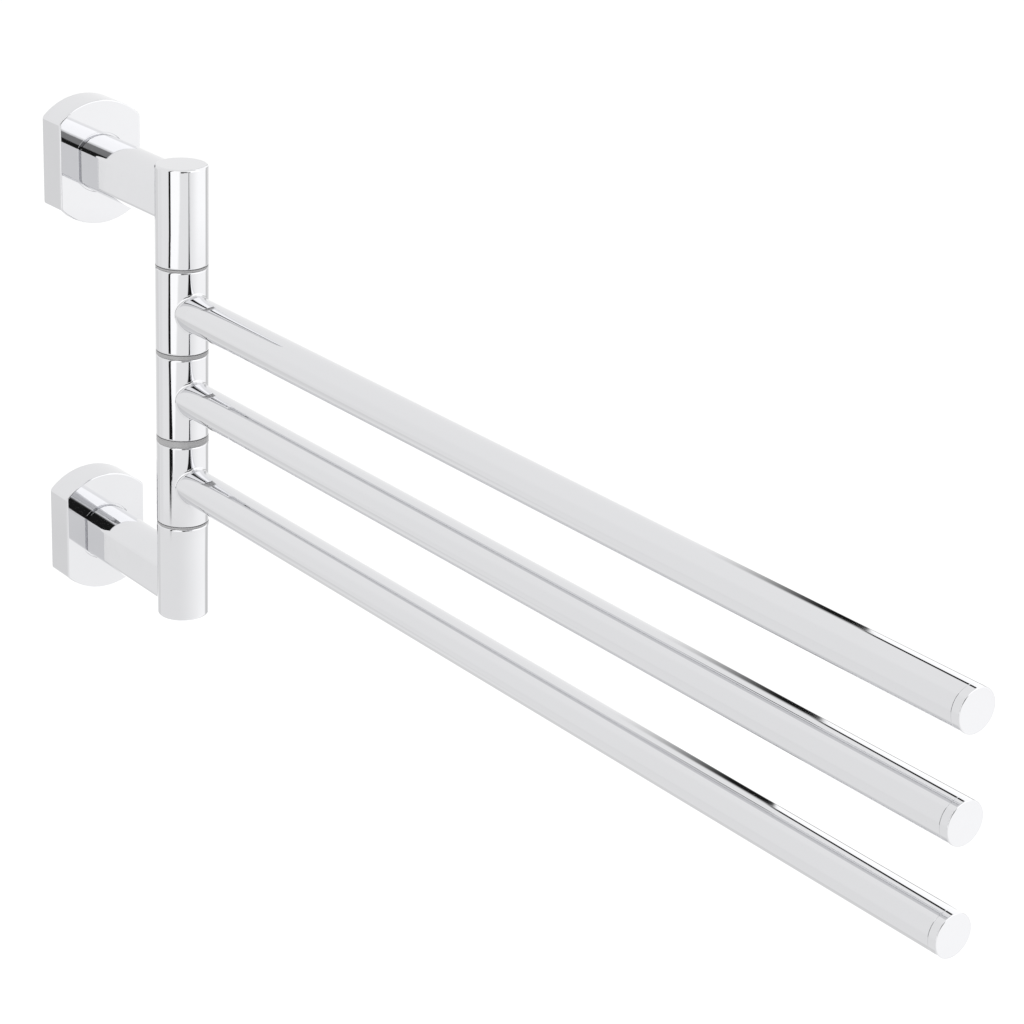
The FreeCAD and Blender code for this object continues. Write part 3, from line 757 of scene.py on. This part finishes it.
direction = node(tent, "ShaderNodeTexCoord").outputs["Generated"]
axes = node(tent, "ShaderNodeSeparateXYZ")
tent.links.new(direction, axes.inputs["Vector"])
east, north, height = axes.outputs
azimuth = degrees(calculate("ARCTAN2", east, calculate("MULTIPLY", north, -1)))
elevation = degrees(calculate("ARCSINE", height))
from_wall_axis = degrees(calculate("ARCCOSINE", north))
round_wall_axis = degrees(calculate("ARCTAN2", height, east))
print("world directions ready: azimuth 0 is straight out from the wall")

# %% [markdown]
# The tent is painted as a level of light for every direction, from the plain cloth up to the panels in
# front of it. A mask is 1 inside a patch and 0 outside it, and masks are multiplied to cut a patch out.
# All limits are degrees, and a pair of limits that stands in falling order fades the other way.

# %% Levels that come back
CLOTH = 1.0
GAP_BLACK = 0.01
PORT_BLACK = 0.015
FLOOR_LINE, TENT_TOP = -21.6, 62
CRISP = 0.4


def times(first, *others):
    for other in others:
        first = calculate("MULTIPLY", first, other)
    return first


def plus(first, second):
    return calculate("ADD", first, second)


def minus(first, second):
    return calculate("SUBTRACT", first, second)


print("cloth at level", CLOTH, "and the floor's line at", FLOOR_LINE, "degrees")

# %% [markdown]
# Polished sides of the flanges and arms look to the left and behind, where the cloth hangs in shade.
# The floor gets lighter towards the right-hand box. The bars' undersides see it just below the rack,
# where it is darker.

# %% Cloth and floor
LOW_LEFT_SHADE, FOLD_SHADE, SIDE_SHADE = 0.95, 0.97, 0.84
FLOOR_LEFT, FLOOR_GAIN, CORNER_GAIN = 0.94, 0.24, 0.07
FLOOR_SIDE_SHADE, UNDER_SHADE = 0.82, 0.8
level = plus(CLOTH, 0)
low_left = times(edge(azimuth, -122, -136), edge(elevation, -12, -21))
level = paint(level, low_left, LOW_LEFT_SHADE)
level = paint(level, band(azimuth, -145, -124, 5), times(level, FOLD_SHADE))
side = edge(azimuth, -150.8, -151.6)
level = paint(level, times(side, edge(elevation, 6, -6)), SIDE_SHADE)

floor_level = plus(times(edge(azimuth, -60, 80), FLOOR_GAIN), FLOOR_LEFT)
right_corner = times(edge(azimuth, 30, 44), edge(elevation, -23, -24.5))
floor_level = plus(floor_level, times(right_corner, CORNER_GAIN))
floor_level = paint(floor_level, times(side, edge(elevation, -40, -30)), FLOOR_SIDE_SHADE)
under_rack = times(band(round_wall_axis, -98, -62, 3), band(from_wall_axis, 36, 56, 2))
floor_level = paint(floor_level, under_rack, UNDER_SHADE)
level = paint(level, edge(elevation, FLOOR_LINE + CRISP, FLOOR_LINE - CRISP), floor_level)
print("cloth and floor painted")

# %% [markdown]
# The box at the left front gives the post its broad white stripe. Its near end slants, so the stripe
# gets narrower down the post. Beyond its far edge the tent is open, and that black gap is the dark line
# down the post. The line steps aside and widens a little at the floor, as the photograph shows.

# %% Left box and its gap
LEFT_BOX = 1.3
BOX_END, BOX_SLANT, BOX_FOOT = -37.5, 5.6, 48
GAP_STEP, GAP_FADE, GAP_WIDENING = 3.5, 1.8, 7
slanting_end = calculate("MINIMUM", BOX_END, plus(times(elevation, BOX_SLANT), BOX_FOOT))
left_box = times(edge(azimuth, -83, -79), edge(minus(azimuth, slanting_end), 4, -5))
left_box = times(left_box, band(elevation, -20.5, TENT_TOP, CRISP))
level = paint(level, left_box, LEFT_BOX)

gap_turn = minus(azimuth, times(edge(elevation, -16.9, -16), GAP_STEP))
gap_soft = plus(gap_turn, times(band(elevation, -18.6, -17.4, 0.5), GAP_FADE))
widening = times(edge(elevation, -18.4, -20.3), edge(elevation, -20.95, -20.65), GAP_WIDENING)
left_gap = times(edge(gap_soft, -92.4, -89), edge(minus(gap_turn, widening), -80.4, -82.2))
left_gap = times(left_gap, edge(elevation, -22, -21), edge(elevation, TENT_TOP, TENT_TOP - 2))
level = paint(level, left_gap, GAP_BLACK)
print("left box at level", LEFT_BOX)

# %% [markdown]
# The box at the right is the long bright stripe on the bars. A bar lies along Y, so what it mirrors
# changes along its length with the angle from the wall's axis, and round its girth with the angle round
# that axis. The box's near edge is reached far out on each bar. Its top edge rises with that angle.

# %% Right box
NEAR_EDGE = 49.7
EDGE_RISE, RISE_END = 3.2, 5
BOX_LEVEL, BOX_GAIN, LOW_GAIN = 1.01, 0.17, 0.1
beyond = minus(from_wall_axis, NEAR_EDGE)
over_box = minus(round_wall_axis, times(calculate("MINIMUM", beyond, RISE_END), EDGE_RISE))
gain = plus(times(edge(elevation, -17, -15.4), LOW_GAIN), BOX_GAIN)
box_level = plus(times(edge(azimuth, 0, 50), gain), BOX_LEVEL)
right_box = times(band(azimuth, 4, 160, 1), band(elevation, FLOOR_LINE, TENT_TOP, CRISP))
right_box = times(right_box, edge(beyond, 0, 0.15), edge(over_box, 43, 40))
level = paint(level, right_box, box_level)
print("right box reaches from", NEAR_EDGE, "degrees off the wall's axis")

# %% [markdown]
# Three gaps frame that box. The one before its near edge is the dark wedge on each bar, the one over
# its top is the thin black line from the wedge to the cap, and the one under it is only grey.

# %% Gaps round the right box
LOW_GAP = 0.35
wedge = times(edge(beyond, -3.8, -0.8), edge(beyond, 0.1, 0))
wedge = times(wedge, edge(round_wall_axis, -26, -4), edge(round_wall_axis, 48, 28))
level = paint(level, wedge, GAP_BLACK)
top_gap = times(band(over_box, 34, 45, 1.5), band(beyond, 0, 5, 0.2))
level = paint(level, top_gap, GAP_BLACK)
low_gap = times(band(round_wall_axis, -24, -8, 3), band(beyond, 0, 4, 0.3))
level = paint(level, low_gap, LOW_GAP)
print("three gaps painted")

# %% [markdown]
# A seam in the right-hand cloth greys the post's right edge, and leans where it meets the floor. High
# up at the front the ceiling is bright: the arms' tops and the flanges' faces show it between them. A
# narrow open seam straight ahead is the fine second line on the post.

# %% Seams and the front ceiling
SEAM_LEAN, SEAM_SHADE = 8, 0.72
FRONT_CEILING = 1.6
OPEN_SEAM, SEAM_DEPTH, SEAM_FAINT = 0.05, 0.6, 0.2
lean = times(edge(elevation, FLOOR_LINE + 1, FLOOR_LINE - 1), SEAM_LEAN)
seam_turn = plus(azimuth, lean)
right_seam = times(edge(seam_turn, 86, 99), edge(seam_turn, 126, 112), edge(elevation, 20, 8))
level = paint(level, right_seam, SEAM_SHADE)
front_ceiling = times(band(azimuth, -3, 60, 3), band(elevation, 12, 45, 3), edge(from_wall_axis, 120, 130))
level = paint(level, front_ceiling, FRONT_CEILING)
open_seam = times(band(azimuth, 4.4, 6.2, 0.5), band(elevation, -20.8, 20, 0.6))
open_seam = times(open_seam, plus(times(edge(elevation, -15.4, -17.4), SEAM_DEPTH), SEAM_FAINT))
level = paint(level, open_seam, OPEN_SEAM)
print("two seams and the front ceiling painted")

# %% [markdown]
# The camera looks in through a port at the left front. It is black with a grey curtain across its
# middle. The wedges over the bars' necks and the bands beside the arms are its reflections.

# %% The camera's port
CURTAIN = 0.3
PORT_SOFT = 0.8
SLANT, SLANT_FOOT = 7 / 11, 39.6
over_slant = minus(elevation, plus(times(azimuth, SLANT), SLANT_FOOT))
curtain = times(band(azimuth, -33, -7, PORT_SOFT), band(elevation, 7, 38, PORT_SOFT))
level = paint(level, curtain, CURTAIN)
port_high = times(band(azimuth, -33, -9.5, PORT_SOFT), edge(elevation, 40, 34))
port_high = times(port_high, edge(over_slant, -PORT_SOFT, PORT_SOFT))
port_left = times(band(azimuth, -33.5, -20.5, PORT_SOFT), band(elevation, -11, 38, PORT_SOFT))
port_low = times(band(azimuth, -33.5, 8, PORT_SOFT), band(elevation, 2, 24.5, PORT_SOFT))
for opening in (port_high, port_left, port_low):
    level = paint(level, opening, PORT_BLACK)
print("tent painted with two boxes, their gaps and the camera's port")

# %% [markdown]
# Light Path splits the world by kind of ray. Camera rays get white, mirror rays get the tent, and all
# other rays get an even light that shows matt colours about as they are written.

# %% Split the world by ray
rays = node(tent, "ShaderNodeLightPath")
MATT_LIGHT = 0.62
strength = paint(plus(MATT_LIGHT, 0), rays.outputs["Is Glossy Ray"], level)
strength = paint(strength, rays.outputs["Is Transmission Ray"], level)
strength = paint(strength, rays.outputs["Is Camera Ray"], 1.0)
background.inputs["Color"].default_value = (1, 1, 1, 1)
tent.links.new(strength, background.inputs["Strength"])
print("world set")

# %% [markdown]
# One wide lamp above gives matt parts a little shape. The floor is a plain pale sheet well below the
# rack, which hangs about a metre up a wall. It takes the rack's shadow, and it isn't part of the object.

# %% Lamp and floor
LAMP_PLACE, LAMP_AIM = (-0.6, -0.9, 1.6), (0, -0.2, 0)
FLOOR_SIZE, FLOOR_HEIGHT = 12, -1.1
select_nothing()
bpy.ops.object.light_add(type="AREA", location=LAMP_PLACE)
lamp = bpy.context.object
lamp.name = "overhead_softbox"
lamp.data.shape = "DISK"
lamp.data.size = 1.2
lamp.data.energy = 14
lamp.rotation_euler = (Vector(LAMP_AIM) - lamp.location).to_track_quat("-Z", "Y").to_euler()
lamp.visible_glossy = False
lamp.visible_camera = False

select_nothing()
bpy.ops.mesh.primitive_plane_add(size=FLOOR_SIZE, location=(0, 0, FLOOR_HEIGHT))
floor = bpy.context.object
floor.name = "floor"
floor_paint, tree, shader = new_material("pale_floor")
shader.inputs["Base Color"].default_value = (0.9, 0.9, 0.9, 1)
shader.inputs["Roughness"].default_value = 0.9
shader.inputs["Emission Color"].default_value = (1, 1, 1, 1)
shader.inputs["Emission Strength"].default_value = 0.45
floor.data.materials.append(floor_paint)
floor.visible_glossy = False
print("floor at", floor.location.z, "m")

# %% [markdown]
# ## The camera
#
# The photograph was taken from the left and above with a long lens. Its place, aim and focal length
# were worked out from the edges of the post, the flanges and the bars.

# %% Set the camera
PITCH, ROLL, HEADING = math.radians(21.369), math.radians(2.309), math.radians(37.584)
CAMERA_PLACE = (-0.5315928, -0.9723419, 0.362896)
SENSOR_MM, PICTURE_PIXELS, FOCAL_PIXELS = 36, 1024, 2894.027
camera_data = bpy.data.cameras.new("catalogue_camera")
camera = bpy.data.objects.new("catalogue_camera", camera_data)
bpy.context.scene.collection.objects.link(camera)
camera_data.sensor_width = SENSOR_MM
camera_data.sensor_fit = "HORIZONTAL"
camera_data.lens = FOCAL_PIXELS / PICTURE_PIXELS * SENSOR_MM
forward = Vector((math.sin(HEADING) * math.cos(PITCH), math.cos(HEADING) * math.cos(PITCH), -math.sin(PITCH)))
level_right = Vector((math.cos(HEADING), -math.sin(HEADING), 0))
level_up = level_right.cross(forward)
right = level_right * math.cos(ROLL) + level_up * math.sin(ROLL)
up = level_up * math.cos(ROLL) - level_right * math.sin(ROLL)
turn = Matrix((right, up, -forward)).transposed().to_4x4()
camera.matrix_world = Matrix.Translation(CAMERA_PLACE) @ turn
bpy.context.scene.camera = camera
bpy.context.scene.view_settings.view_transform = "Standard"
print("camera", camera_data.lens, "mm lens at", list(camera.location))

# %% Finish
select_nothing()
bpy.context.view_layer.update()
